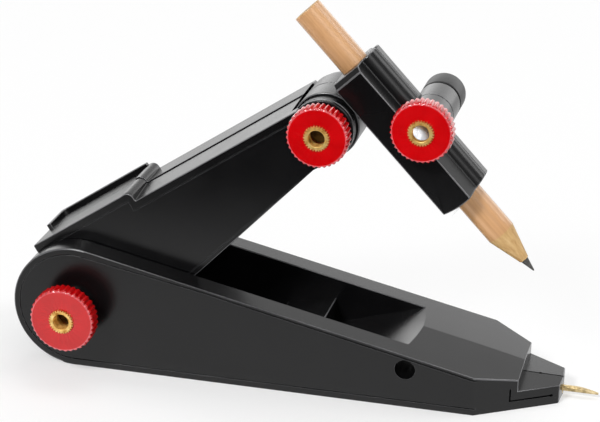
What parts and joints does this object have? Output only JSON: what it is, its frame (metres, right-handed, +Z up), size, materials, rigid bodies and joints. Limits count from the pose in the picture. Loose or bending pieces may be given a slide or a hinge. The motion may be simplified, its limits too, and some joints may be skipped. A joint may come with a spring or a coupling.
{
  "type": "scribing and compass tool",
  "caption": "Scribing tool with a wedge base and nose pin, a folding arm, and a swivelling two-jaw clamp that holds a pencil, each locked by a knurled thumb knob.",
  "frame": {"origin": "centre of the base's flat underside, on its middle plane", "axes": "+X along the base towards the nose pin, +Z up, y = 0 is the base's middle plane, -Y is the side with the thumb knobs"},
  "size_m": [0.1519, 0.0457, 0.0994],
  "materials": {
    "black_plastic": "moulded, fine matt texture",
    "red_plastic": "moulded, glossy, opaque red",
    "brass": "turned, bright",
    "steel": "zinc plated",
    "pencil_wood": "natural, unpainted, satin",
    "graphite": "graphite lead, matt"
  },
  "bodies": {
    "base": {"base_body": "black_plastic", "pin_collar": "brass", "rear_pivot_bolt": "steel", "rear_spacer": "black_plastic"},
    "pin": {"scribing_pin": "brass"},
    "rear_knob": {"rear_knob": "red_plastic", "rear_knob_insert": "brass"},
    "arm": {"arm_near_shell": "black_plastic", "arm_far_shell": "black_plastic", "arm_pivot_bush": "steel", "arm_screw_rear": "steel", "arm_screw_front": "steel", "swivel_bolt": "steel", "swivel_spacer": "black_plastic"},
    "swivel_knob": {"swivel_knob": "red_plastic", "swivel_knob_insert": "brass"},
    "holder": {"holder_near_jaw": "black_plastic", "holder_far_jaw": "black_plastic", "hub_bush": "steel", "hub_washer_near": "steel", "hub_washer_far": "steel", "clamp_bolt": "steel", "clamp_washer": "black_plastic", "clamp_barrel": "black_plastic"},
    "clamp_knob": {"clamp_knob": "red_plastic", "clamp_knob_insert": "brass"},
    "pencil": {"pencil_wood": "pencil_wood", "pencil_lead": "graphite"}
  },
  "joints": [
    {"name": "arm_fold", "type": "hinge", "parent": "base", "child": "arm", "pos_m": [-0.063, 0, 0.0165], "axis": [0, -1, 0], "range_deg": [-11, 90]},
    {"name": "holder_swivel", "type": "hinge", "parent": "arm", "child": "holder", "pos_m": [0.00142, 0, 0.06996], "axis": [0, 1, 0], "range_deg": [-75, 24]},
    {"name": "rear_knob_turn", "type": "hinge", "parent": "base", "child": "rear_knob", "pos_m": [-0.063, -0.0245, 0.0165], "axis": [0, -1, 0], "range_deg": [0, 360]},
    {"name": "swivel_knob_turn", "type": "hinge", "parent": "arm", "child": "swivel_knob", "pos_m": [0.00142, -0.016, 0.06996], "axis": [0, -1, 0], "range_deg": [0, 360]},
    {"name": "clamp_knob_turn", "type": "hinge", "parent": "holder", "child": "clamp_knob", "pos_m": [0.02638, -0.012, 0.07242], "axis": [0, -1, 0], "range_deg": [0, 360]},
    {"name": "pencil_slide", "type": "slide", "parent": "holder", "child": "pencil", "axis": [0.6884, 0, -0.7254], "range_m": [-0.013, 0.018]},
    {"name": "pin_slide", "type": "slide", "parent": "base", "child": "pin", "axis": [1, 0, 0], "range_m": [0, 0.006]}
  ]
}
